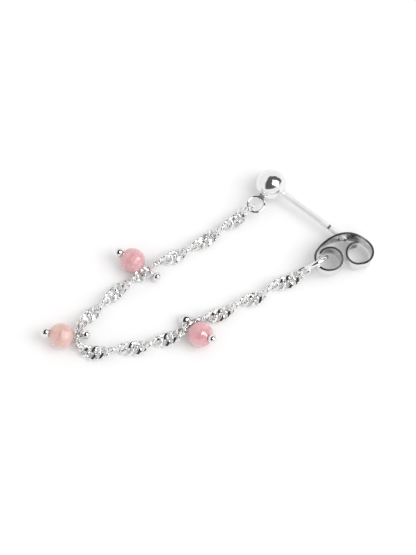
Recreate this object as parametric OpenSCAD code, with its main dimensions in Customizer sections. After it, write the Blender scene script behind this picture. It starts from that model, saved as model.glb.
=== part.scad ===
/* [Ball and post] */
// Diameter of the ball on the front of the stud
ball_d = 3.8; // [3.6:0.1:4]
// Diameter of the post
post_d = 0.8; // [0.7:0.05:0.85]
// Length from the middle of the ball to the post's tip
post_len = 11.9; // [11.6:0.1:12.2]
// Distance of the friction groove from the post's tip
groove_from_tip = 2.7; // [1.8:0.1:3]
// Outer diameter of the ring soldered to the ball
ball_ring_d = 2.5; // [2.4:0.05:2.6]
// Wire of that ring
ball_ring_wire = 0.4; // [0.35:0.05:0.45]

/* [Butterfly back] */
// Width of the strip that the back is bent from
strip_w = 1.85; // [1.6:0.05:1.9]
// Width of the strip at the hole
plate_w = 2.5; // [2.2:0.1:2.8]
// Thickness of the strip
strip_t = 0.26; // [0.2:0.02:0.3]
// Diameter of the hole for the post
hole_d = 1.6; // [1.55:0.05:1.7]
// Outer diameter of the jump ring on the back
jump_ring_d = 3.5; // [3.45:0.05:3.6]
// Wire of the jump ring
jump_ring_wire = 0.6; // [0.5:0.05:0.6]

/* [Chain] */
// Width of a link over its wire
link_w = 1.5; // [1.4:0.02:1.56]
// Wire of a link
link_wire = 0.24; // [0.22:0.01:0.26]
// Spacing of the links along the chain
link_pitch = 0.9; // [0.88:0.01:0.94]
// Room that a bead's pin takes along the chain
carrier_pitch = 1.34; // [1.3:0.02:1.4]
// Twist of one link from end to end, in degrees
link_twist = -120; // [-125:5:-115]
// Height of the link's wire over its middle plane, where the chain was pressed flat
press_height = 0.35; // [0.33:0.01:0.4]
// Height at which the flat facets are cut on a link
facet_height = 0.41; // [0.38:0.01:0.5]

/* [Beads] */
// Diameter of a bead over its facets
bead_d = 3.15; // [3:0.05:3.2]
// Diameter of the hole through a bead
bead_hole_d = 0.64; // [0.6:0.02:0.8]
// Wire of the pins
pin_wire = 0.34; // [0.26:0.02:0.36]

/* [Hidden] */
$fn = 48;

// Places on the table, in mm: x to the right, y away from the viewer, z up
ball_at = [7.7, 10.3, ball_d / 2];
post_heading = -37.5;
post_fall = 2;
post_tip_r = 0.3;
groove_w = 0.35;
groove_depth = 0.1;
ring_at = [5.8, 7.7, 1.7];
ring_joint_d = 0.5;

clutch_at = [16.55, 3.6, 1.5];
clutch_heading = 11;
clutch_lean = 4;
jump_ring_at = [13.3, -0.1, jump_ring_d / 2];
jump_ring_heading = 30;

// The back's outline: the plate is two arcs that meet at the hole, and each of them runs into
// the outer turn of a scroll. The inner turn of a scroll stands nearer to the hole
left_plate_r = 5.2;
left_outer_x = 2.47;
left_outer_r = 1.78;
left_inner_x = 2.2;
left_inner_r = 1.6;
left_end = 325;
right_plate_r = 3.6;
right_outer_x = 1.68;
right_outer_r = 1.7;
right_inner_x = 1.3;
right_inner_r = 1.55;
right_end = 285;
plate_swell_r = 8.2;

// One row a pin: middle of the bead, heading and fall of the pin towards the chain, how far the
// chain, the inner ball and the outer ball lie from the bead's middle, and the balls' radii
MIDDLE = 0;
HEADING = 1;
FALL = 2;
CHAIN_AT = 3;
INNER_AT = 4;
OUTER_AT = 5;
INNER_R = 6;
OUTER_R = 7;
LEFT = 0;
UPPER = 1;
RIGHT = 2;
bead_z = bead_d / 2;
pins = [
  [[-18.25, -9.45, bead_z], 0, 7, 1.95, 3, 2.05, 0.6, 0.65],
  [[-9.6, 0.3, bead_z], -32, 13, 2.25, 3.7, 2.05, 0.56, 0.65],
  [[-1.1, -9.3, bead_z], 133, 13.5, 2.15, 3.3, 1.95, 0.8, 0.55]
];

// Where the chain crosses a pin
function crossing(pin) = pin[MIDDLE] + pin[CHAIN_AT]
  * [cos(pin[FALL]) * cos(pin[HEADING]), cos(pin[FALL]) * sin(pin[HEADING]), -sin(pin[FALL])];

// The chain's route from the ball's ring to the jump ring: place, and roll of the chain in degrees
route = [
  [5.2, 7.15, 1.7, 55],
  [4.15, 6.55, 1.3, 20],
  [3.25, 6, 0.95, -20],
  [1.4, 4.8, 0.75, -90],
  [-0.85, 3.2, 0.8, -180],
  [-3.1, 1.85, 0.75, -265],
  [-4.45, 0.9, 0.8, -330],
  [-6.2, 0.25, 1, -395],
  concat(crossing(pins[UPPER]), [-465]),
  [-9.15, -2, 0.8, -540],
  [-10.85, -2.9, 0.8, -625],
  [-12.4, -4.5, 0.8, -725],
  [-14.7, -6.5, 0.8, -850],
  [-16, -8, 1.2, -940],
  concat(crossing(pins[LEFT]), [-990]),
  [-16.25, -10.25, 1, -1020],
  [-15.6, -11.05, 0.7, -1045],
  [-14.75, -11.45, 0.75, -1070],
  [-13.2, -11.5, 0.85, -1115],
  [-11.7, -11.05, 0.8, -1180],
  [-9.1, -10.75, 0.8, -1265],
  [-7, -10.1, 0.8, -1350],
  [-5.25, -9.7, 0.75, -1425],
  [-3.7, -8.95, 1.05, -1490],
  concat(crossing(pins[RIGHT]), [-1555]),
  [-1.2, -7, 0.85, -1620],
  [0.2, -6.6, 0.75, -1685],
  [1.65, -6.2, 0.85, -1760],
  [3.6, -5.2, 0.8, -1865],
  [5.75, -4.2, 0.8, -1980],
  [7.75, -3.05, 0.8, -2065],
  [10.05, -1.95, 0.8, -2150],
  [11.45, -1.2, 0.85, -2190],
  [12.45, -0.6, 1.25, -2165]
];
upper_row = 8;
left_row = 14;
right_row = 24;
steps_per_row = 8;

// A smooth curve through the rows of the route
function row(i) = route[max(0, min(len(route) - 1, i))];
function smooth(i, t) = 0.5 * (2 * row(i) + (row(i + 1) - row(i - 1)) * t
  + (2 * row(i - 1) - 5 * row(i) + 4 * row(i + 1) - row(i + 2)) * t * t
  + (3 * row(i) - row(i - 1) - 3 * row(i + 1) + row(i + 2)) * t * t * t);
function place(p) = [p[0], p[1], p[2]];
curve = [for (i = [0 : len(route) - 2], j = [0 : steps_per_row - 1]) smooth(i, j / steps_per_row),
         route[len(route) - 1]];
run = [for (s = 0, i = 0; i < len(curve);
            s = s + (i < len(curve) - 1 ? norm(place(curve[i + 1]) - place(curve[i])) : 0), i = i + 1) s];
tables = [for (column = [0 : 3]) [for (i = [0 : len(curve) - 1]) [run[i], curve[i][column]]]];
function at(s) = [lookup(s, tables[0]), lookup(s, tables[1]), lookup(s, tables[2])];
function roll_at(s) = lookup(s, tables[3]);

// The knots where one link hands over to the next, a whole number of links between the pins
function knots_between(a, b) = let (count = round((b - a) / link_pitch))
  [for (i = [0 : count]) a + (b - a) * i / count];
half_carrier = carrier_pitch / 2;
end_pitch = 1.15;
end_twist = -30;
knots_upper = knots_between(0, run[upper_row * steps_per_row] - half_carrier);
knots_left = knots_between(run[upper_row * steps_per_row] + half_carrier,
                           run[left_row * steps_per_row] - half_carrier);
knots_right = knots_between(run[left_row * steps_per_row] + half_carrier,
                            run[right_row * steps_per_row] - half_carrier);
knots_end = knots_between(run[right_row * steps_per_row] + half_carrier,
                          run[len(run) - 1] - end_pitch);
knots = concat(knots_upper, knots_left, knots_right, knots_end, [run[len(run) - 1]]);
far_links = len(knots_upper) + len(knots_left) - 1;
all_links = len(knots) - 1;

// One link: a loop whose sides turn about the chain's line, pressed and then cut flat
link_overlap = 0.45;
squareness = 2.5;
loop_steps = 16;
wire_sides = 6;
function unit(v) = v / norm(v);
function bend(v) = sign(v) * pow(abs(v), 2 / squareness);
function loop_point(half_length, turning, u) = let (
    x = half_length * bend(cos(u)),
    side = (link_w - link_wire) / 2 * bend(sin(u)),
    turn = turning * x)
  [x, side * cos(turn), max(-press_height, min(press_height, side * sin(turn)))];
function wire_point(half_length, turning, u, v) = let (
    p = loop_point(half_length, turning, u),
    along = unit(loop_point(half_length, turning, u + 1) - loop_point(half_length, turning, u - 1)),
    turn = turning * p[0],
    across = unit(cross([0, -sin(turn), cos(turn)], along)),
    q = p + link_wire / 2 * (cos(v) * across + sin(v) * cross(along, across)))
  [q[0], q[1], max(-facet_height, min(facet_height, q[2]))];
function link_points(k) = let (
    a = at(knots[k]), b = at(knots[k + 1]),
    pitch = norm(b - a),
    last = k == all_links - 1,
    turning = (last ? end_twist : link_twist) / pitch,
    roll = last ? route[len(route) - 1][3] : roll_at((knots[k] + knots[k + 1]) / 2),
    along = unit(b - a),
    level = unit(cross([0, 0, 1], along)),
    over = cross(along, level),
    side = cos(roll) * level + sin(roll) * over,
    face = cos(roll) * over - sin(roll) * level)
  [for (i = [0 : loop_steps - 1], j = [0 : wire_sides - 1])
    let (q = wire_point((pitch + link_overlap) / 2, turning,
                        360 * (i + 0.5) / loop_steps, 360 * (j + 0.5) / wire_sides))
    (a + b) / 2 + q[0] * along + q[1] * side + q[2] * face];
function ring_faces(rings, sides, first) = [
  for (i = [0 : rings - 1], j = [0 : sides - 1]) let (
      k = (i + 1) % rings, m = (j + 1) % sides,
      p = first + i * sides + j, q = first + k * sides + j,
      r = first + k * sides + m, s = first + i * sides + m)
    each [[p, q, r], [p, r, s]]];

module links(from, to) {
  points = [for (k = [from : to]) each link_points(k)];
  faces = [for (k = [0 : to - from]) each ring_faces(loop_steps, wire_sides,
                                                     k * loop_steps * wire_sides)];
  color("silver") polyhedron(points, faces);
}

module chain_far() links(0, far_links - 1);
module chain_near() links(far_links, all_links - 1);

// A closed ring of round wire, lying level
module ring(outer_d, wire) {
  rotate_extrude() translate([(outer_d - wire) / 2, 0]) circle(d = wire, $fn = 24);
}

// Puts its child's x axis along a heading, falling by an angle
module aim(heading, fall) {
  rotate([0, fall, heading]) children();
}

module ball_post() {
  reach = ring_at - ball_at;
  groove_at = post_len - groove_from_tip;
  color("silver") {
    translate(ball_at) {
      sphere(d = ball_d);
      aim(post_heading, post_fall) rotate([0, 90, 0]) rotate_extrude() polygon([
        [0, 0],
        [post_d / 2, 0],
        [post_d / 2, groove_at - groove_w / 2],
        [post_d / 2 - groove_depth, groove_at - groove_w / 4],
        [post_d / 2 - groove_depth, groove_at + groove_w / 4],
        [post_d / 2, groove_at + groove_w / 2],
        [post_d / 2, post_len - post_tip_r / 2],
        [post_d / 2 - post_tip_r / 2, post_len],
        [0, post_len]]);
      aim(atan2(reach[1], reach[0]), asin(-reach[2] / norm(reach))) rotate([0, 90, 0])
        cylinder(d = ring_joint_d, h = norm(reach) - ball_ring_d / 2 + ball_ring_wire / 2, $fn = 24);
    }
    translate(ring_at) ring(ball_ring_d, ball_ring_wire);
  }
}

// The angle at which an outer turn leaves the plate's arc, and how deep its middle lies
function leaves_plate(plate_r, x, r) = asin(x / (plate_r - r));
function depth(plate_r, x, r) = plate_r - (plate_r - r) * cos(leaves_plate(plate_r, x, r));
left_leaves = leaves_plate(left_plate_r, left_outer_x, left_outer_r);
left_depth = depth(left_plate_r, left_outer_x, left_outer_r);
right_leaves = leaves_plate(right_plate_r, right_outer_x, right_outer_r);
right_depth = depth(right_plate_r, right_outer_x, right_outer_r);
left_inner_y = left_depth + left_outer_r - left_inner_r;
right_inner_y = right_depth + right_outer_r - right_inner_r;

// The strip's bends from the right scroll's end to the left one's, each one an arc with its
// centre, its outer radius and its first and last angle; the strip always curls the same way.
// The back is turned round, so its own x axis points to the left as it lies on the table
bends = [
  [[-right_inner_x, right_inner_y], right_inner_r, 180 - right_end, 90],
  [[-right_outer_x, right_depth], right_outer_r, 90, 270 - right_leaves],
  [[0, right_plate_r], right_plate_r, 270 - right_leaves, 270],
  [[0, left_plate_r], left_plate_r, 270, 270 + left_leaves],
  [[left_outer_x, left_depth], left_outer_r, 270 + left_leaves, 450],
  [[left_inner_x, left_inner_y], left_inner_r, 450, 360 + left_end]
];
bend_step = 6;
function on_bend(bend, inset, a) = bend[0] + (bend[1] - inset) * [cos(a), sin(a)];
// A bend ends where the next one starts, except before a straight bottom and at the strip's end
keeps_end = [true, false, false, false, true, true];
function face(inset) = [
  for (k = [0 : len(bends) - 1])
    let (bend = bends[k], count = ceil((bend[3] - bend[2]) / bend_step))
    for (i = [0 : keeps_end[k] ? count : count - 1])
      on_bend(bend, inset, bend[2] + (bend[3] - bend[2]) * i / count)];
function reversed(list) = [for (i = [len(list) - 1 : -1 : 0]) list[i]];

// How wide the strip may be: it swells around the hole, between two wide arcs
module widths() {
  reach = 2 * left_plate_r;
  translate([-reach / 2, -1, -strip_w / 2]) cube([reach, reach, strip_w]);
  intersection() {
    wide_arc(1);
    wide_arc(-1);
  }
}

module wide_arc(side) {
  translate([0, 0, side * (plate_swell_r - plate_w / 2)]) rotate([90, 0, 0])
    cylinder(r = plate_swell_r, h = 2, center = true, $fn = 96);
}

module clutch() {
  color("silver") translate(clutch_at) rotate([0, -clutch_lean, 180 + clutch_heading])
    difference() {
      intersection() {
        linear_extrude(plate_w, center = true)
          polygon(concat(face(0), reversed(face(strip_t))));
        widths();
      }
      translate([0, -1, 0]) rotate([-90, 0, 0]) cylinder(d = hole_d, h = 2);
    }
}

module clutch_ring() {
  color("silver") translate(jump_ring_at) rotate([90, 0, jump_ring_heading])
    ring(jump_ring_d, jump_ring_wire);
}

// A faceted bead: rings of corners, each turned half a step from the last
bead_sides = 12;
bead_rows = [-62, -38, -13, 13, 38, 62];
module bead(pin) {
  points = [for (i = [0 : len(bead_rows) - 1], j = [0 : bead_sides - 1])
    let (u = 360 * (j + i % 2 / 2) / bead_sides)
    bead_d / 2 * [sin(bead_rows[i]), cos(bead_rows[i]) * cos(u), cos(bead_rows[i]) * sin(u)]];
  top = (len(bead_rows) - 1) * bead_sides;
  bands = [for (i = [0 : len(bead_rows) - 2], j = [0 : bead_sides - 1]) let (
      here = i * bead_sides, next = here + bead_sides,
      k = (j + 1) % bead_sides)
    each i % 2 == 0
      ? [[here + j, next + j, here + k], [here + k, next + j, next + k]]
      : [[here + j, next + j, next + k], [here + j, next + k, here + k]]];
  tables = [[for (j = [0 : bead_sides - 1]) j], [for (j = [bead_sides - 1 : -1 : 0]) top + j]];
  color("lightpink") translate(pin[MIDDLE]) aim(pin[HEADING], pin[FALL]) difference() {
    polyhedron(points, concat(bands, tables));
    rotate([0, 90, 0]) cylinder(d = bead_hole_d, h = 2 * bead_d, center = true, $fn = 24);
  }
}

module bead_left() bead(pins[LEFT]);
module bead_upper() bead(pins[UPPER]);
module bead_right() bead(pins[RIGHT]);

// A pin with a ball at each end, turned from one profile: each ball runs from its pole to the wire
ball_steps = 12;
function ball_arc(at, r, side) = let (neck = asin(pin_wire / 2 / r)) [
  for (i = [0 : ball_steps]) let (a = 90 - (180 - neck) * i / ball_steps)
    [r * cos(a), at + side * r * sin(a)]];
module pin(row) {
  color("silver") translate(row[MIDDLE]) aim(row[HEADING], row[FALL]) rotate([0, 90, 0])
    rotate_extrude($fn = 32) polygon(concat(
      ball_arc(-row[OUTER_AT], row[OUTER_R], -1),
      reversed(ball_arc(row[INNER_AT], row[INNER_R], 1))));
}

module pin_left() pin(pins[LEFT]);
module pin_upper() pin(pins[UPPER]);
module pin_right() pin(pins[RIGHT]);

ball_post();
clutch();
clutch_ring();
chain_far();
chain_near();
bead_left();
bead_upper();
bead_right();
pin_left();
pin_upper();
pin_right();
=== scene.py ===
# %% [markdown]
# # A stud earring with a chain and three beads, dressed for its picture
#
# The earring is a silver ball stud. A twisted chain hangs from the ball, carries three small
# stone beads on pins, and comes back to the butterfly that holds the post behind the ear.
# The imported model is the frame: it says where every part is. Here each part gets the shape
# and the finish that a jeweller would give it, in the same place.

# %% The frame
import math

import bmesh
import bpy
from mathutils import Euler, Matrix, Vector


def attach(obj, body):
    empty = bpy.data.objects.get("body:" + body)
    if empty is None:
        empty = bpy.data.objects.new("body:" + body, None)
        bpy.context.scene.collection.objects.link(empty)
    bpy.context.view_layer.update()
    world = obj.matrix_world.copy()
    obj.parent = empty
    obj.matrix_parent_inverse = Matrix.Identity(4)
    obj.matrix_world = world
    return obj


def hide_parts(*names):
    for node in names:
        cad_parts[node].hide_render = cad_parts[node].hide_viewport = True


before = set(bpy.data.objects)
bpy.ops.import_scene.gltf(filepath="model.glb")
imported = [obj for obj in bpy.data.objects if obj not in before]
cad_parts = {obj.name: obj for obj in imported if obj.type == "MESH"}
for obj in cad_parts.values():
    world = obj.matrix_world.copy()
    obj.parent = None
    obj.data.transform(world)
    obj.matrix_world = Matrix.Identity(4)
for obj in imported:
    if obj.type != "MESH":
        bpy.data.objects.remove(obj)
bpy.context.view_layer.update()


def in_mm(box):
    """The corners of a box in metres as rounded millimetres, for printing."""
    return [[round(1000 * v, 2) for v in corner] for corner in box]


print("solids in the frame:", sorted(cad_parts))

# %% [markdown]
# ## How the pieces are made
#
# A link of this chain is less than 2 mm wide. Many of Blender's tools have thresholds of a
# tenth of a millimetre, which would eat such a piece. So each one is modelled at a thousand
# times its size, one unit for one millimetre, and is shrunk at the end, when its place is
# baked into its mesh. A few helpers keep the cells below short.

# %% Small helpers
MM = 0.001


def nothing_selected():
    """Leaves edit mode and selects nothing, so that the next operator acts on one piece."""
    if bpy.context.object and bpy.context.object.mode != "OBJECT":
        bpy.ops.object.mode_set(mode="OBJECT")
    bpy.ops.object.select_all(action="DESELECT")


def only(piece):
    """Selects one piece."""
    nothing_selected()
    piece.select_set(True)
    bpy.context.view_layer.objects.active = piece


def bake(piece):
    """Puts the piece's place, turn and size into its mesh."""
    only(piece)
    bpy.ops.object.transform_apply(location=True, rotation=True, scale=True)


def newest(name):
    """Names the primitive that was just added."""
    piece = bpy.context.object
    piece.name = piece.data.name = name
    bake(piece)
    return piece


def open_edit():
    """Enters edit mode with everything selected."""
    bpy.ops.object.mode_set(mode="EDIT")
    bpy.ops.mesh.select_all(action="SELECT")


def close_edit():
    """Turns all faces outwards and leaves edit mode."""
    bpy.ops.mesh.select_all(action="SELECT")
    bpy.ops.mesh.normals_make_consistent(inside=False)
    bpy.ops.object.mode_set(mode="OBJECT")


def apply_modifier(piece, kind, **settings):
    """Adds a modifier, sets it and applies it."""
    only(piece)
    modifier = piece.modifiers.new(kind.lower(), kind)
    for key, value in settings.items():
        setattr(modifier, key, value)
    bpy.ops.object.modifier_apply(modifier=modifier.name)


def done(piece, body_slot, *nodes, smooth=30):
    """Shrinks a finished piece to metres and hangs it in the frame.

    Its edges are shaded smooth up to an angle in degrees.
    """
    piece.scale = (MM, MM, MM)
    bake(piece)
    bpy.ops.object.shade_smooth_by_angle(angle=math.radians(smooth))
    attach(piece, "root")
    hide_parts(*nodes)
    corners = [[extreme(v.co[i] for v in piece.data.vertices) for i in range(3)]
               for extreme in (min, max)]
    print(piece.name, len(piece.data.polygons), "faces, box in mm", in_mm(corners))
    return piece


print("one unit of a piece in the making stands for", MM, "m")

# %% [markdown]
# ## The camera
#
# The earring was laid on a table and looked at from high in front, 72 degrees above the table,
# with a long lens, so the chain hardly shrinks towards the back.

# %% The camera
# The elevation is in degrees, the distance and the place in metres, the lens in millimetres.
ELEVATION = 72
DISTANCE = 0.25
LOOKED_AT = Vector((-0.0002, -0.0014, 0))
LENS = 129.73

nothing_selected()
back = Vector((0, -math.cos(math.radians(ELEVATION)), math.sin(math.radians(ELEVATION))))
bpy.ops.object.camera_add(location=LOOKED_AT + DISTANCE * back,
                          rotation=(math.radians(90 - ELEVATION), 0, 0))
camera = bpy.context.object
camera.name = "camera"
camera.data.lens = LENS
camera.data.clip_start = 0.01
camera.data.clip_end = 10
bpy.context.scene.camera = camera
print("camera at", [round(v, 4) for v in camera.location])

# %% [markdown]
# ## The table and the light
#
# Silver has no colour of its own: what it looks like is what stands around it. Small jewellery
# is photographed in a light tent, with white walls all round and an opening overhead for the
# camera. The opening is dark, and so every polished surface that looks up has a black heart.
# One soft lamp shines through it from the right, and throws pale shadows to the left. Its
# reflection in the silver is brighter than its light on the table, so a second light just in
# front of it, which only reflections see, adds the glint.
#
# The tent is the world here, not a mesh, so it stands in nobody's way from any side. Its
# opening is bounded by planes through the middle of the table. Diffuse surfaces see the tent
# evenly white, which keeps the table's shadows as soft as they are.
#
# Materials and the tent are made of nodes, so a helper adds a node and fills its sockets.

# %% The table
# The size in metres, and the share of the light that the paper sends back.
TABLE_SIZE = 6
PAPER_WHITE = 0.93


def new_material(name):
    """A material with nodes, and its shader."""
    material = bpy.data.materials.new(name)
    material.use_nodes = True
    return material, material.node_tree.nodes["Principled BSDF"]


nothing_selected()
bpy.ops.mesh.primitive_plane_add(size=TABLE_SIZE)
table = bpy.context.object
table.name = "table"
paper, shader = new_material("table paper")
shader.inputs["Base Color"].default_value = (PAPER_WHITE, PAPER_WHITE, PAPER_WHITE, 1)
shader.inputs["Roughness"].default_value = 0.7
shader.inputs["Specular IOR Level"].default_value = 0.2
table.data.materials.append(paper)
print("table of", TABLE_SIZE, "m, with paper that sends back", PAPER_WHITE, "of the light")


# %% A helper for nodes
def add_node(tree, kind, sockets, **settings):
    """Adds a node. Each of its sockets gets a value, or a wire from another node."""
    node = tree.nodes.new("ShaderNode" + kind)
    for key, value in settings.items():
        setattr(node, key, value)
    for key, value in sockets.items():
        if isinstance(value, bpy.types.NodeSocket):
            tree.links.new(value, node.inputs[key])
        else:
            node.inputs[key].default_value = value
    return node


# %% The tent with its opening
# How bright the walls and the opening look, and the even tent that diffuse surfaces see.
WALL = 0.95
OPENING = 0.045
DOME = 0.84
# Each side of the opening is a plane, given by the way that it faces, and is a little soft.
SOFT_EDGE = 0.03
OPENING_SIDES = [(0.25, -0.68, 0.69), (0.72, -0.42, 0.56), (-0.2, 0.55, 0.81)]

world = bpy.data.worlds.new("light tent")
bpy.context.scene.world = world
world.use_nodes = True
world.cycles.sampling_method = "NONE"
tent = world.node_tree
direction = add_node(tent, "TexCoord", {}).outputs["Generated"]
inside = None
for side in OPENING_SIDES:
    across = add_node(tent, "VectorMath", {0: direction, 1: Vector(side).normalized()},
                      operation="DOT_PRODUCT")
    edge = add_node(tent, "MapRange", {"Value": across.outputs["Value"],
                                       "From Min": -SOFT_EDGE, "From Max": SOFT_EDGE},
                    interpolation_type="SMOOTHSTEP")
    if inside is None:
        inside = edge.outputs["Result"]
    else:
        both = add_node(tent, "Math", {0: inside, 1: edge.outputs["Result"]},
                        operation="MULTIPLY")
        inside = both.outputs["Value"]
seen = add_node(tent, "Mix", {"Factor": inside, "A": WALL, "B": OPENING})
path = add_node(tent, "LightPath", {})
even = add_node(tent, "Mix", {"Factor": path.outputs["Is Diffuse Ray"],
                              "A": seen.outputs["Result"], "B": DOME})
background = tent.nodes["Background"]
background.inputs["Color"].default_value = (1, 1, 1, 1)
tent.links.new(even.outputs["Result"], background.inputs["Strength"])
print("the tent's walls at", WALL, "and its opening at", OPENING)

# %% The soft lamp and its glint
# Distances and sizes are in metres, powers in watts.
LAMP_TOWARDS = Vector((0.604, -0.098, 0.79)).normalized()
LAMP_AT = 0.5
LAMP_SIZE = (0.32, 0.4)
LAMP_POWER = 1.05
GLINT_AT = 0.98 * LAMP_AT
GLINT_POWER = 1.2


def soft_light(name, distance, power):
    """A rectangular light towards the lamp's side, that faces the middle of the table."""
    nothing_selected()
    bpy.ops.object.light_add(type="AREA", location=distance * LAMP_TOWARDS)
    light = bpy.context.object
    light.name = name
    light.rotation_euler = LAMP_TOWARDS.to_track_quat("Z", "Y").to_euler()
    light.data.shape = "RECTANGLE"
    light.data.size = LAMP_SIZE[0]
    light.data.size_y = LAMP_SIZE[1]
    light.data.energy = power
    return light


lamp = soft_light("soft lamp", LAMP_AT, LAMP_POWER)
glint = soft_light("glint of the lamp", GLINT_AT, GLINT_POWER)
glint.visible_diffuse = False
bpy.context.scene.view_settings.view_transform = "Standard"
print("lamp of", LAMP_POWER, "W at", [round(v, 3) for v in lamp.location], "m")

# %% [markdown]
# ## Silver
#
# Polished silver is a mirror with a faintly warm tint. The finish of each piece is in how much
# it blurs. The jump ring and the pins come from the polishing wheel, and the ball is a little
# hazy. The drawn wire of the post is still white from its pickling bath. The chain is tumbled,
# and the facets cut into its links are the brightest of all where they aren't worn. Faint wear
# varies the blur, and a fine grain in the bump breaks the straight reflections. Shade is painted
# into the silver's colour where it falls: inside the back, under the plate and between the plate
# and the scrolls, and on the post's tip, in its groove and at the neck of the ball's ring.

# %% Colour ramps and grain
GRAIN_DEPTH = 0.02 * MM


def add_ramp(tree, factor, *stops):
    """Adds a ramp from one colour to another. Each stop is a place of the factor and a colour."""
    ramp = add_node(tree, "ValToRGB", {"Fac": factor})
    for element, (place, colour) in zip(ramp.color_ramp.elements, stops):
        element.position = place
        element.color = (*colour, 1)
    return ramp.outputs["Color"]


def add_grain(tree, place, size, strength, detail):
    """Adds a bump with grains of a size in mm."""
    fine = add_node(tree, "TexNoise", {"Vector": place, "Scale": 1 / (size * MM),
                                       "Detail": detail})
    bump = add_node(tree, "Bump", {"Height": fine.outputs["Fac"], "Strength": strength,
                                   "Distance": GRAIN_DEPTH})
    return bump.outputs["Normal"]


print("grains are", GRAIN_DEPTH / MM, "mm deep")


# %% A recipe for silver
def silver(name, tint, blur, blur_change, grain, grain_size, metallic=1):
    """A metal whose blur wanders over the surface and whose grain has a size in mm."""
    material, shader = new_material(name)
    tree = material.node_tree
    place = add_node(tree, "TexCoord", {}).outputs["Object"]
    clouds = add_node(tree, "TexNoise", {"Vector": place, "Scale": 1 / (2.5 * MM), "Detail": 4})
    wear = clouds.outputs["Fac"]
    spread = add_node(tree, "MapRange", {"Value": wear, "From Min": 0.3, "From Max": 0.7,
                                         "To Min": blur, "To Max": blur + blur_change})
    darker = [0.93 * c for c in tint]
    colours = add_ramp(tree, wear, (0.25, darker), (0.65, tint))
    normal = add_grain(tree, place, size=grain_size, strength=grain, detail=3)
    shader.inputs["Metallic"].default_value = metallic
    tree.links.new(spread.outputs["Result"], shader.inputs["Roughness"])
    tree.links.new(colours, shader.inputs["Base Color"])
    tree.links.new(normal, shader.inputs["Normal"])
    return material


def tarnish(material, centre, inner, outer, tint):
    """Paints shade into a metal's colour round a place, softly from an inner to an outer
    distance, all in mm.
    """
    tree = material.node_tree
    base = tree.nodes["Principled BSDF"].inputs["Base Color"]
    place = add_node(tree, "TexCoord", {}).outputs["Object"]
    away = add_node(tree, "VectorMath", {0: place, 1: [MM * v for v in centre]},
                    operation="DISTANCE")
    fade = add_node(tree, "MapRange", {"Value": away.outputs["Value"],
                                       "From Min": inner * MM, "From Max": outer * MM},
                    interpolation_type="SMOOTHSTEP")
    mix = add_node(tree, "Mix", {"Factor": fade.outputs["Result"], "A": (tint, tint, tint, 1),
                                 "B": base.links[0].from_socket}, data_type="RGBA")
    tree.links.new(mix.outputs["Result"], base)


# %% The finishes
TINT = (0.88, 0.88, 0.875)

wheel_silver = silver("wheel polished silver", TINT, blur=0.05, blur_change=0.05,
                      grain=0.05, grain_size=0.3)
ball_silver = silver("hazy silver", TINT, blur=0.06, blur_change=0.08,
                     grain=0.6, grain_size=0.3, metallic=0.94)
ring_silver = silver("ring silver", (0.95, 0.95, 0.945), blur=0.05, blur_change=0.03,
                     grain=0.02, grain_size=0.3)
pickled_silver = silver("pickled silver", TINT, blur=0.45, blur_change=0.1,
                        grain=0.2, grain_size=0.12, metallic=0.5)
rim_silver = silver("rim silver", TINT, blur=0.08, blur_change=0.14,
                    grain=0.12, grain_size=0.3)
strip_silver = silver("rolled strip silver", (0.82, 0.82, 0.82), blur=0.05, blur_change=0.06,
                      grain=0.08, grain_size=0.25)
# Painted shade: the strip is darkened under the plate and in the gaps between the plate and the
# scrolls, where shade falls.
tarnish(strip_silver, (17.3, 3.2, 1), inner=1.1, outer=1.8, tint=0.08)
tarnish(strip_silver, (14.6, 2.4, 1.4), inner=0.9, outer=1.7, tint=0.25)
tarnish(strip_silver, (15.7, 3.4, 0.9), inner=0.5, outer=1.3, tint=0.3)
# Painted shade: a dark silver for the post's tip in the shade of the back, its groove and the
# neck of the ball's ring.
unbrushed_silver = silver("unbrushed silver", (0.3, 0.3, 0.3), blur=0.25, blur_change=0.15,
                          grain=0.2, grain_size=0.2)
tumbled_silver = silver("tumbled silver", TINT, blur=0.08, blur_change=0.06,
                        grain=0.1, grain_size=0.15)
worn_silver = silver("worn silver", (0.93, 0.93, 0.925), blur=0.28, blur_change=0.1,
                     grain=0.04, grain_size=0.2)
cut_silver = silver("cut silver", (0.94, 0.94, 0.935), blur=0.04, blur_change=0.03,
                    grain=0.04, grain_size=0.2)
print("silver finishes made:", sum("silver" in m.name for m in bpy.data.materials))

# %% [markdown]
# ## Ball, post and ring
#
# The ball is turned, the post is drawn wire soldered into it, and a small closed ring is
# soldered to the ball's side to carry the chain. The post has a groove near its tip, where
# the back snaps in. A rod is made as on a lathe: a disc is extruded step by step along X and
# scaled to the radius of each step. Its first steps, where it leaves the ball, make the
# solder's fillet.

# %% Balls, rods and rings of wire
def add_ball(name, radius, at, segments=48):
    """A ball with its middle at a place."""
    nothing_selected()
    bpy.ops.mesh.primitive_uv_sphere_add(segments=segments, ring_count=segments // 2,
                                         radius=radius, location=at)
    return newest(name)


def add_ring(name, radius, wire_radius, at, segments, rotation=(0, 0, 0)):
    """A closed ring of round wire. Its radius is that of the wire's centre line."""
    nothing_selected()
    bpy.ops.mesh.primitive_torus_add(major_radius=radius, minor_radius=wire_radius,
                                     major_segments=segments, minor_segments=segments // 3,
                                     location=at, rotation=rotation)
    return newest(name)


def rod(name, profile, sides=48):
    """Extrudes a disc through the profile's steps, each a place along X and a radius."""
    nothing_selected()
    x, radius = profile[0]
    bpy.ops.mesh.primitive_circle_add(vertices=sides, radius=radius, fill_type="NGON",
                                      location=(x, 0, 0), rotation=(0, math.pi / 2, 0))
    piece = newest(name)
    open_edit()
    for (here, old), (there, new) in zip(profile, profile[1:]):
        bpy.ops.mesh.extrude_region_move(TRANSFORM_OT_translate={"value": (there - here, 0, 0)})
        bpy.ops.transform.resize(value=(1, new / old, new / old), center_override=(there, 0, 0))
    close_edit()
    return piece


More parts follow.
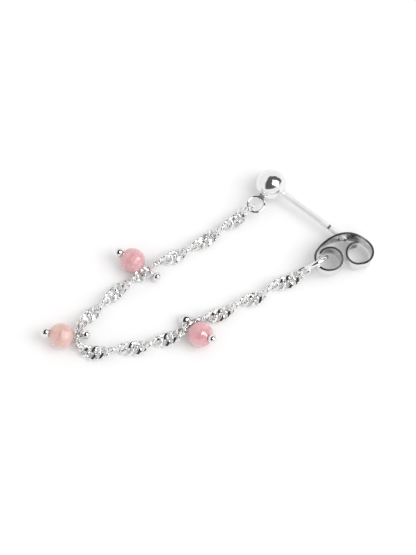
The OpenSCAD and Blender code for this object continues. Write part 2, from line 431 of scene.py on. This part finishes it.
# %% Turning a piece and soldering it
def towards(heading, fall, length=1):
    """The way along a heading with a fall, both in degrees, as far as the length."""
    turn = Euler((0, math.radians(fall), math.radians(heading)))
    return turn.to_matrix() @ Vector((length, 0, 0))


def aim(piece, at, heading, fall):
    """Turns a piece made along X to a heading, with a fall in degrees, and moves it there."""
    piece.rotation_euler = (0, math.radians(fall), math.radians(heading))
    piece.location = at
    bake(piece)


def aim_at(piece, at, target):
    """Turns a piece made along X towards a target, and moves it to its place."""
    reach = target - at
    heading = math.degrees(math.atan2(reach.y, reach.x))
    aim(piece, at, heading, math.degrees(math.asin(-reach.z / reach.length)))


def weld(first, *others):
    """Solders pieces together: one closed skin round all of them."""
    for other in others:
        apply_modifier(first, "BOOLEAN", operation="UNION", solver="EXACT", object=other)
        bpy.data.objects.remove(other)


# %% The ball with its post and ring
# In mm and degrees. A profile's steps are places along the rod, each with the radius there.
BALL_R = 1.9
BALL_AT = Vector((7.7, 10.3, 1.9))
RING_R = 1.05
RING_WIRE_R = 0.23
RING_AT = Vector((5.8, 7.7, 1.7))
POST_HEADING = -37.5
POST_FALL = 2
POST_FILLET = [(1.6, 0.75), (1.78, 0.6), (1.92, 0.47), (2.1, 0.41), (2.3, 0.4)]
POST_GROOVE = [(9.02, 0.4), (9.06, 0.37), (9.12, 0.3), (9.28, 0.3), (9.34, 0.37), (9.38, 0.4)]
POST_TIP = [(11.62, 0.4), (11.75, 0.37), (11.85, 0.3), (11.9, 0.18)]
NECK = [(1.65, 0.6), (1.82, 0.42), (1.95, 0.27), (2.05, 0.22), (2.2, 0.18)]

ball = add_ball("ball_and_post", BALL_R, BALL_AT, segments=96)
post = rod("post", POST_FILLET + POST_GROOVE + POST_TIP)
aim(post, BALL_AT, POST_HEADING, POST_FALL)
neck = rod("neck", NECK, sides=32)
aim_at(neck, BALL_AT, RING_AT)
weld(ball, post, neck, add_ring("small_ring", RING_R, RING_WIRE_R, RING_AT, segments=72))
print("ball, post and ring soldered:", len(ball.data.polygons), "faces")

# %% Its two finishes and its painted shade
# Distances from the ball's middle, in mm, between which a finish or the painted shade begins and
# ends.
ON_POST = 1.95
UNBRUSHED_NECK = (1.92, 2.15)
UNBRUSHED_GROOVE = (9.07, 9.33)
UNBRUSHED_TIP = 10.9

for material in (ball_silver, pickled_silver, unbrushed_silver):
    ball.data.materials.append(material)
along_post = towards(POST_HEADING, POST_FALL)
for face in ball.data.polygons:
    from_ball = face.center - BALL_AT
    along = from_ball.dot(along_post)
    on_ring_side = along < 1
    at_neck = on_ring_side and UNBRUSHED_NECK[0] < from_ball.length < UNBRUSHED_NECK[1]
    in_groove = UNBRUSHED_GROOVE[0] < along < UNBRUSHED_GROOVE[1]
    # Painted shade: the neck, the groove and the tip get the dark silver.
    if at_neck or in_groove or along > UNBRUSHED_TIP:
        face.material_index = 2
    else:
        face.material_index = 0 if along < ON_POST else 1
done(ball, "silver", "ball_post")

# %% [markdown]
# ## The chain's line
#
# The chain is two strands that meet at the left bead's pin. Both lie on one smooth line
# through a few chosen places. This kind of chain is twisted: from link to link it turns by
# about a tenth of a turn, but it hardly turns where a pin holds it. So its roll has a list of
# its own, by the length along the line. On the table the links settle: the flat ones lie a
# little flatter and lower than an even twist would have them. At the three pins a longer link
# makes room for the wire, which is bent a little behind the bead.

# %% The beads and their pins
# A pin runs with a heading and a fall from its outer ball, at a distance from the middle of the
# bead, through the bead and the chain to its inner ball. The bead's facets are turned a little
# about the pin. Lengths are in mm, angles in degrees.
PINS = {
    "left": dict(bead=Vector((-18.25, -9.45, 1.575)), heading=-9, fall=15, turn=12,
                 outer=2, outer_r=0.65, chain=(-16.3, -9.45, 1.35),
                 inner=Vector((-15.25, -9.2, 1.2)), inner_r=0.6),
    "upper": dict(bead=Vector((-9.6, 0.3, 1.575)), heading=-29, fall=13, turn=6,
                  outer=1.95, outer_r=0.65, chain=(-7.75, -0.85, 1.05),
                  inner=Vector((-6.6, -1.55, 0.75)), inner_r=0.56),
    "right": dict(bead=Vector((-1.1, -9.3, 1.575)), heading=149, fall=32, turn=9,
                  outer=1.95, outer_r=0.57, chain=(-2.55, -7.75, 1.05),
                  inner=Vector((-3, -7.2, 0.82)), inner_r=0.8),
}
print("beads on pins:", list(PINS))

# %% The places that the chain passes
# Places in mm, from the ball's ring round the left bead to the jump ring.
ROUTE = [
    (5.35, 7.3, 1.85), (4.1, 6.7, 1.3), (3.35, 5.8, 0.95), (1.4, 4.8, 0.83), (-0.75, 3, 0.83),
    (-3.1, 1.85, 0.83), (-4.5, 1, 0.83), (-6.25, 0.4, 1), PINS["upper"]["chain"],
    (-9.25, -1.8, 0.83), (-10.85, -2.9, 0.83), (-12.5, -4.4, 0.83), (-14.7, -6.5, 0.83),
    (-16, -8, 1.2), PINS["left"]["chain"], (-16.25, -10.25, 1), (-15.6, -11.05, 0.83),
    (-14.75, -11.4, 0.83), (-13.2, -11.35, 0.85), (-11.7, -11, 0.83), (-9.1, -10.8, 0.83),
    (-7, -10.1, 0.83), (-5.25, -9.7, 0.83), (-3.7, -8.95, 1.05), PINS["right"]["chain"],
    (-1.2, -7.25, 0.9), (0.2, -6.75, 0.85), (1.7, -6.35, 0.83), (3.5, -5, 0.83),
    (5.8, -4.35, 0.83), (7.65, -2.85, 0.83), (10.1, -2.1, 0.83), (11.35, -1, 0.85),
    (12.3, -0.7, 1.25),
]
# Lengths along the line in mm, each with the chain's roll there in degrees.
TURNS = [
    (0, 75), (0.8, 60), (1.8, 10), (5.1, -110), (7.4, -200), (10.2, -295), (11.7, -375),
    (13.5, -450), (15.4, -465), (16.5, -555), (18, -640), (20.9, -735), (23.3, -830),
    (24.4, -895), (26, -970), (28, -990), (30, -1005), (32, -1070), (34.4, -1165),
    (37.1, -1245), (38.9, -1335), (40.7, -1420), (42.6, -1485), (44.1, -1520), (46.6, -1530),
    (48.2, -1606), (51.1, -1695), (53.3, -1790), (55.2, -1875), (58.2, -1965), (61, -2050),
]
# The last link's roll and how far flat links turn flatter, in degrees, and lie lower, in mm.
END_ROLL = -1985
SETTLE = 4
LOWER = 0.15
print("the chain's line has", len(ROUTE), "places")

# %% A smooth line through them
# How many points the line has from one place to the next.
STEPS = 8


def smooth(i, t):
    """A point of the smooth line between two places of the route."""
    rows = [Vector(ROUTE[max(0, min(len(ROUTE) - 1, i + k))]) for k in (-1, 0, 1, 2)]
    before, here, there, after = rows
    return 0.5 * (2 * here + (there - before) * t
                  + (2 * before - 5 * here + 4 * there - after) * t * t
                  + (3 * here - before - 3 * there + after) * t * t * t)


line = [smooth(i, j / STEPS) for i in range(len(ROUTE) - 1) for j in range(STEPS)]
line.append(Vector(ROUTE[-1]))
lengths = [0.0]
for here, there in zip(line, line[1:]):
    lengths.append(lengths[-1] + (there - here).length)


def along_line(s):
    """The point of the line at a length from its start."""
    for i in range(len(line) - 1):
        if s <= lengths[i + 1] or i == len(line) - 2:
            return line[i].lerp(line[i + 1], (s - lengths[i]) / (lengths[i + 1] - lengths[i]))


def roll_at(s):
    """The chain's roll in degrees at a length from its start."""
    for (a, before), (b, after) in zip(TURNS, TURNS[1:]):
        if s <= b:
            even = before + (after - before) * (s - a) / (b - a)
            return even - SETTLE * math.sin(math.radians(2 * even))


print("the chain's line is", round(lengths[-1], 1), "mm long")

# %% The knots where one link hands over to the next
# How far a link carries the chain on, in mm: a plain one, one on a pin and the last one.
PITCH = 0.9
CARRIER = 1.34
END_LINK = 1.15


def knots_between(a, b):
    """A whole number of links of about one pitch between two lengths."""
    count = round((b - a) / PITCH)
    return [a + (b - a) * i / count for i in range(count + 1)]


crossings = sorted(ROUTE.index(pin["chain"]) for pin in PINS.values())
at_pins = [lengths[STEPS * i] for i in crossings]
starts = [0] + [s + CARRIER / 2 for s in at_pins]
ends = [s - CARRIER / 2 for s in at_pins] + [lengths[-1] - END_LINK]
stretches = [knots_between(a, b) for a, b in zip(starts, ends)]
knots = [s for stretch in stretches for s in stretch] + [lengths[-1]]
# The far strand ends before the link on the left pin, which is the near strand's first.
far_links = len(stretches[0]) + len(stretches[1]) - 1
print("chain of", len(knots) - 1, "links,", far_links, "of them in the far strand")

# %% [markdown]
# ## One link
#
# A link starts as a round wire loop. It is twisted along the chain's line, pressed between
# two steel plates, and then a diamond tool shaves flats where the loop stands highest, and
# these flash in turn as the chain moves.
#
# A torus can't be twisted well, because its wire would flatten where it runs askew. So the
# loop's centre line is made first, from a circle of edges. It is squared a little with Cast,
# stretched, twisted with Simple Deform, and only then becomes a wire of even thickness.

# %% Pressing flat
def pick(piece, test):
    """In edit mode, selects the vertices whose place passes the test."""
    mesh = bmesh.from_edit_mesh(piece.data)
    for vertex in mesh.verts:
        vertex.select = bool(test(vertex.co))
    mesh.select_flush_mode()
    bmesh.update_edit_mesh(piece.data)


def press(piece, height):
    """In edit mode, presses flat what stands higher than a height, above and below."""
    for side in (1, -1):
        pick(piece, lambda co: co.z * side > height)
        bpy.ops.transform.resize(value=(1, 1, 0), center_override=(0, 0, side * height))


# %% Making a link
# Sizes in mm, with the heights at which the loop is pressed and its flats are cut. A twist is in
# degrees from one knot to the next.
LINK_WIDTH = 1.88
LINK_WIRE = 0.36
LINK_OVERLAP = 0.45
SQUARED = 0.17
PRESSED = 0.26
CUT = 0.33
TWIST = -72
END_WIDTH = 1.25
END_TWIST = -30


def make_link(name, pitch, twist, width):
    """A link along X for one step of the chain, with its flats in a second material."""
    half = (pitch + LINK_OVERLAP) / 2
    nothing_selected()
    bpy.ops.mesh.primitive_circle_add(vertices=32, radius=1)
    link = newest(name)
    apply_modifier(link, "CAST", cast_type="CUBOID", factor=SQUARED, use_z=False)
    open_edit()
    bpy.ops.transform.resize(value=(half, (width - LINK_WIRE) / 2, 1))
    bpy.ops.object.mode_set(mode="OBJECT")
    apply_modifier(link, "SIMPLE_DEFORM", deform_method="TWIST", deform_axis="X",
                   angle=math.radians(twist / pitch * 2 * half))
    open_edit()
    press(link, PRESSED)
    bpy.ops.object.mode_set(mode="OBJECT")
    bpy.ops.object.convert(target="CURVE")
    link.data.bevel_depth = LINK_WIRE / 2
    link.data.bevel_resolution = 3
    bpy.ops.object.convert(target="MESH")
    open_edit()
    press(link, CUT)
    bpy.ops.mesh.select_all(action="SELECT")
    bpy.ops.mesh.remove_doubles(threshold=0.0005)
    close_edit()
    link.data.materials.clear()
    link.data.materials.append(tumbled_silver)
    link.data.materials.append(cut_silver)
    for face in link.data.polygons:
        face.material_index = 1 if abs(face.normal.z) > 0.999 else 0
    return link


plain_link = make_link("plain_link", PITCH, TWIST, LINK_WIDTH)
pin_link = make_link("pin_link", CARRIER, TWIST, LINK_WIDTH)
end_link = make_link("end_link", END_LINK, END_TWIST, END_WIDTH)
print("a link has", len(plain_link.data.polygons), "faces, on",
      [round(v, 2) for v in plain_link.dimensions], "mm")

# %% [markdown]
# ## The two strands
#
# Every link is a copy with its own mesh, moved to its place between two knots and rolled
# about the line. A link whose step is a little longer or shorter than the model's is
# stretched to fit. The facets of the far strand are worn dull, those of the near one flash.

# %% Laying the links
def lay_link(k):
    """A copy of the right model between knots k and k + 1."""
    start, end = along_line(knots[k]), along_line(knots[k + 1])
    pitch = (end - start).length
    last = k == len(knots) - 2
    if last:
        model, nominal = end_link, END_LINK
    elif abs(knots[k + 1] - knots[k] - CARRIER) < 0.01:
        model, nominal = pin_link, CARRIER
    else:
        model, nominal = plain_link, PITCH
    roll = math.radians(END_ROLL if last else roll_at((knots[k] + knots[k + 1]) / 2))
    lift = 0 if last else -LOWER * math.cos(2 * roll)
    place = (start + end) / 2 + Vector((0, 0, lift))
    along = (end - start).normalized()
    level = Vector((0, 0, 1)).cross(along).normalized()
    over = along.cross(level)
    side = math.cos(roll) * level + math.sin(roll) * over
    face = math.cos(roll) * over - math.sin(roll) * level
    reach = along * (pitch + LINK_OVERLAP) / (nominal + LINK_OVERLAP)
    turn = Matrix((reach, side, face)).transposed()
    link = model.copy()
    link.data = model.data.copy()
    link.data.transform(Matrix.Translation(place) @ turn.to_4x4())
    bpy.context.collection.objects.link(link)
    return link


def strand(name, first, last):
    """Joins a run of links into one piece."""
    links = [lay_link(k) for k in range(first, last)]
    nothing_selected()
    for link in links:
        link.select_set(True)
    bpy.context.view_layer.objects.active = links[0]
    bpy.ops.object.join()
    links[0].name = links[0].data.name = name
    return links[0]


# %% The two strands
LINK_EDGE = 38

far_strand = done(strand("far_strand", 0, far_links), "chain", "chain_far", smooth=LINK_EDGE)
far_strand.data.materials[1] = worn_silver
near_strand = done(strand("near_strand", far_links, len(knots) - 1), "chain", "chain_near",
                   smooth=LINK_EDGE)
for model in (plain_link, pin_link, end_link):
    bpy.data.objects.remove(model)

# %% [markdown]
# ## The jump ring
#
# A stout ring of round wire joins the chain to the back. It hangs over the wall of the left
# scroll and leans a little, so that its edge is turned to the one who looks at it.

# %% The jump ring
# In mm and degrees.
JUMP_RING_R = 1.45
JUMP_RING_WIRE_R = 0.3
JUMP_RING_AT = (13.3, -0.1, 1.75)
JUMP_RING_HEADING = 30
LEAN = 15

jump_ring = add_ring("jump_ring", JUMP_RING_R, JUMP_RING_WIRE_R, JUMP_RING_AT, segments=96,
                     rotation=(math.radians(90 + LEAN), 0, math.radians(JUMP_RING_HEADING)))
jump_ring.data.materials.append(ring_silver)
done(jump_ring, "silver", "clutch_ring")

# %% [markdown]
# ## The butterfly back
#
# The back is one strip of sheet, bent round a mandrel into two scrolls that grip the post.
# It is made the same way here: the strip's cross-section stands at the end of one tongue and
# is spun round the centre of each bend in turn, to the end of the other. The inner turns stand
# a little nearer to the hole than the outer ones, so each scroll has a short straight bottom.
# Then the strip is widened round the hole, and the hole is drilled.

# %% The strip's bends
# In mm. The plate is an arc on each side of the hole. Each scroll has an outer turn and a tongue
# inside it, whose middles lie this far to the side of the hole.
THICK = 0.26
STRIP = 1.85
LEFT_ARC_R = 5.2
LEFT_SCROLL_R = 1.78
LEFT_SCROLL_X = 2.47
LEFT_TONGUE_R = 1.6
LEFT_TONGUE_X = 2.2
RIGHT_ARC_R = 3.6
RIGHT_SCROLL_R = 1.7
RIGHT_SCROLL_X = 1.68
RIGHT_TONGUE_R = 1.55
RIGHT_TONGUE_X = 1.3


def leaving(arc_radius, x, radius):
    """The angle at which a scroll leaves the plate's arc, and how deep its middle lies."""
    angle = math.asin(x / (arc_radius - radius))
    return math.degrees(angle), arc_radius - (arc_radius - radius) * math.cos(angle)


LEFT, LEFT_DEPTH = leaving(LEFT_ARC_R, LEFT_SCROLL_X, LEFT_SCROLL_R)
RIGHT, RIGHT_DEPTH = leaving(RIGHT_ARC_R, RIGHT_SCROLL_X, RIGHT_SCROLL_R)
# The middle of each bend, its outer radius, and the angles in degrees where it starts and ends.
BENDS = [
    (-RIGHT_TONGUE_X, RIGHT_DEPTH + RIGHT_SCROLL_R - RIGHT_TONGUE_R, RIGHT_TONGUE_R, -105, 90),
    (-RIGHT_SCROLL_X, RIGHT_DEPTH, RIGHT_SCROLL_R, 90, 270 - RIGHT),
    (0, RIGHT_ARC_R, RIGHT_ARC_R, 270 - RIGHT, 270),
    (0, LEFT_ARC_R, LEFT_ARC_R, 270, 270 + LEFT),
    (LEFT_SCROLL_X, LEFT_DEPTH, LEFT_SCROLL_R, 270 + LEFT, 450),
    (LEFT_TONGUE_X, LEFT_DEPTH + LEFT_SCROLL_R - LEFT_TONGUE_R, LEFT_TONGUE_R, 450, 685),
]
# Bends that start at the bottom of a scroll have a straight stretch before them.
BOTTOMS = (90, 450)
# A step of a bend turns by so many degrees, divided by its radius.
BEND_STEP = 14
print("the scrolls leave the plate's arcs at", round(LEFT, 1), "and", round(RIGHT, 1), "degrees")

# %% Bending it
nothing_selected()
x, y, radius, first, _ = BENDS[0]
angle = math.radians(first)
middle = radius - THICK / 2
bpy.ops.mesh.primitive_plane_add(
    size=1, location=(x + middle * math.cos(angle), y + middle * math.sin(angle), 0),
    rotation=(math.pi / 2, 0, angle))
bpy.context.object.scale = (THICK, STRIP, 1)
butterfly = newest("butterfly_back")
open_edit()
reached = x
for x, y, radius, first, last in BENDS:
    if first in BOTTOMS:
        bpy.ops.mesh.extrude_region_move(TRANSFORM_OT_translate={"value": (x - reached, 0, 0)})
    steps = max(4, round((last - first) * radius / BEND_STEP))
    bpy.ops.mesh.spin(steps=steps, dupli=False, angle=math.radians(first - last),
                      center=(x, y, 0), axis=(0, 0, 1))
    reached = x
bpy.ops.mesh.select_all(action="SELECT")
bpy.ops.mesh.remove_doubles(threshold=0.001)
close_edit()
print("strip bent:", len(butterfly.data.vertices), "corners,",
      [round(v, 2) for v in butterfly.dimensions], "mm")

# %% Widening, drilling and rounding
# In mm, but for the share by which the plate is wider at the hole.
PLATE_DEPTH = 1.2
WIDENED_REACH = 2.3
WIDENED_BY = 0.35
BACK_HOLE_R = 0.8
BACK_EDGE = 0.1


def drill(piece, radius, depth, rotation, sides):
    """Drills a round hole through the origin."""
    nothing_selected()
    bpy.ops.mesh.primitive_cylinder_add(vertices=sides, radius=radius, depth=depth,
                                        rotation=rotation)
    bit = newest("drill")
    apply_modifier(piece, "BOOLEAN", operation="DIFFERENCE", solver="EXACT", object=bit)
    bpy.data.objects.remove(bit)


open_edit()
mesh = bmesh.from_edit_mesh(butterfly.data)
for vertex in mesh.verts:
    if vertex.co.y < PLATE_DEPTH and abs(vertex.co.x) < WIDENED_REACH:
        vertex.co.z *= 1 + WIDENED_BY * (1 - (vertex.co.x / WIDENED_REACH) ** 2)
bmesh.update_edit_mesh(butterfly.data)
bpy.ops.object.mode_set(mode="OBJECT")
drill(butterfly, BACK_HOLE_R, depth=2, rotation=(math.pi / 2, 0, 0), sides=48)
apply_modifier(butterfly, "BEVEL", width=BACK_EDGE, segments=3, limit_method="ANGLE",
               angle_limit=math.radians(45))
print("back drilled and rounded:", len(butterfly.data.polygons), "faces")

# %% Finishing it and putting it in its place
BACK_AT = (16.55, 3.6, 1.5)
BACK_TILT = -4
BACK_HEADING = 191
# A face belongs to the strip's rims if its normal points up or down at least so much.
RIM = 0.93

butterfly.data.materials.append(strip_silver)
butterfly.data.materials.append(rim_silver)
for face in butterfly.data.polygons:
    face.material_index = 1 if abs(face.normal.z) > RIM else 0
aim(butterfly, BACK_AT, BACK_HEADING, BACK_TILT)
done(butterfly, "silver", "clutch")
for face in butterfly.data.polygons:
    if face.material_index == 1:
        face.use_smooth = False

# %% [markdown]
# ## The beads
#
# The beads are small balls of rose stone, ground all over with flat facets and polished.
# A globe with few rows is close to one: its poles are cut off for the flat ends with the
# hole, every other row is turned by half a facet, and the convex hull of the corners then
# gives the facets in between. The edges are worn a little round.

# %% A faceted bead
# In mm, with the numbers of rows and of facets in a row.
BEAD_R = 1.575
BEAD_ROWS = 11
BEAD_FACETS = 20
BEAD_HOLE_R = 0.32
BEAD_EDGE = 0.025


def make_bead(name):
    """A faceted bead with its hole along X, at the origin."""
    nothing_selected()
    bpy.ops.mesh.primitive_uv_sphere_add(segments=BEAD_FACETS, ring_count=BEAD_ROWS,
                                         radius=BEAD_R)
    bead = newest(name)
    bpy.ops.object.mode_set(mode="EDIT")
    # Only the poles lie on the axis.
    pick(bead, lambda co: co.xy.length < 0.01)
    bpy.ops.mesh.delete(type="VERT")
    rows = sorted({round(v.co.z, 3) for v in bmesh.from_edit_mesh(bead.data).verts})
    for row in rows[::2]:
        pick(bead, lambda co: abs(co.z - row) < 0.01)
        bpy.ops.transform.rotate(value=math.pi / BEAD_FACETS, orient_axis="Z",
                                 center_override=(0, 0, 0))
    bpy.ops.mesh.select_all(action="SELECT")
    bpy.ops.mesh.convex_hull()
    bpy.ops.object.mode_set(mode="OBJECT")
    bead.rotation_euler = (0, math.pi / 2, 0)
    bake(bead)
    drill(bead, BEAD_HOLE_R, depth=5, rotation=(0, math.pi / 2, 0), sides=24)
    apply_modifier(bead, "BEVEL", width=BEAD_EDGE, segments=2, limit_method="ANGLE",
                   angle_limit=math.radians(8))
    return bead


# %% [markdown]
# ## Rose stone
#
# The stone is milky: light goes in, scatters and comes out again, so its colour is soft and
# its shadow side glows. Paler clouds run through it. Two beads are rose and the left one is
# peach. The right one is freshly polished, and the others are duller, with softer reflections.

# %% A recipe for rose stone
def stone(name, deep, pale, seed, dull):
    """A milky stone between two colours, with clouds of its own and a more or less dull skin."""
    material, shader = new_material(name)
    tree = material.node_tree
    place = add_node(tree, "TexCoord", {}).outputs["Object"]
    shift = add_node(tree, "Mapping", {"Vector": place, "Location": (seed * MM, 0, 0)})
    place = shift.outputs["Vector"]
    clouds = add_node(tree, "TexNoise", {"Vector": place, "Scale": 1 / (1.3 * MM), "Detail": 6,
                                         "Distortion": 0.6})
    colours = add_ramp(tree, clouds.outputs["Fac"], (0.36, deep), (0.68, pale))
    normal = add_grain(tree, place, size=0.2, strength=0.05, detail=2)
    tree.links.new(colours, shader.inputs["Base Color"])
    tree.links.new(normal, shader.inputs["Normal"])
    shader.inputs["Roughness"].default_value = 0.1
    shader.inputs["Specular IOR Level"].default_value = 0
    shader.inputs["Coat Weight"].default_value = 1
    shader.inputs["Coat IOR"].default_value = 1.85
    shader.inputs["Coat Roughness"].default_value = dull
    shader.inputs["Subsurface Weight"].default_value = 0.7
    shader.inputs["Subsurface Radius"].default_value = (1, 0.5, 0.45)
    shader.inputs["Subsurface Scale"].default_value = 0.6 * MM
    return material


finish = {
    "left": stone("peach stone", (0.68, 0.42, 0.38), (0.76, 0.52, 0.46), seed=7, dull=0.35),
    "upper": stone("worn rose stone", (0.66, 0.34, 0.36), (0.73, 0.42, 0.445), seed=3, dull=0.25),
    "right": stone("rose stone", (0.68, 0.345, 0.37), (0.75, 0.43, 0.455), seed=0, dull=0.02),
}
print("stones:", [material.name for material in finish.values()])

# %% The three beads on their pins' lines
FACET_EDGE = 5

for which, pin in PINS.items():
    bead = make_bead("bead_" + which + "_stone")
    bead.rotation_euler = (math.radians(pin["turn"]), 0, 0)
    bake(bead)
    bead.data.materials.append(finish[which])
    aim(bead, pin["bead"], pin["heading"], pin["fall"])
    body_slot = "bead_left" if which == "left" else "bead_rose"
    done(bead, body_slot, "bead_" + which, smooth=FACET_EDGE)

# %% [markdown]
# ## The pins
#
# Each bead sits on a short wire that passes through the chain, bent where it leaves the bead.
# Both ends of the wire are melted into little balls, so that neither the bead nor the chain
# can slip off.

# %% The pins
# In mm. The wire bends at a distance from the bead's middle.
PIN_R = 0.17
BEND_AT = 1.65
BEND_R = 0.175

for which, pin in PINS.items():
    wire = rod("pin_" + which + "_wire", [(-pin["outer"], PIN_R), (BEND_AT, PIN_R)], sides=24)
    weld(wire, add_ball("outer_end", pin["outer_r"], (-pin["outer"], 0, 0)))
    aim(wire, pin["bead"], pin["heading"], pin["fall"])
    bend = pin["bead"] + towards(pin["heading"], pin["fall"], BEND_AT)
    reach = (pin["inner"] - bend).length
    tail = rod("tail", [(0, PIN_R), (reach, PIN_R)], sides=24)
    aim_at(tail, bend, pin["inner"])
    weld(tail, add_ball("bend", BEND_R, bend))
    weld(tail, add_ball("inner_end", pin["inner_r"], pin["inner"]))
    weld(wire, tail)
    wire.data.materials.append(wheel_silver)
    done(wire, "silver", "pin_" + which)
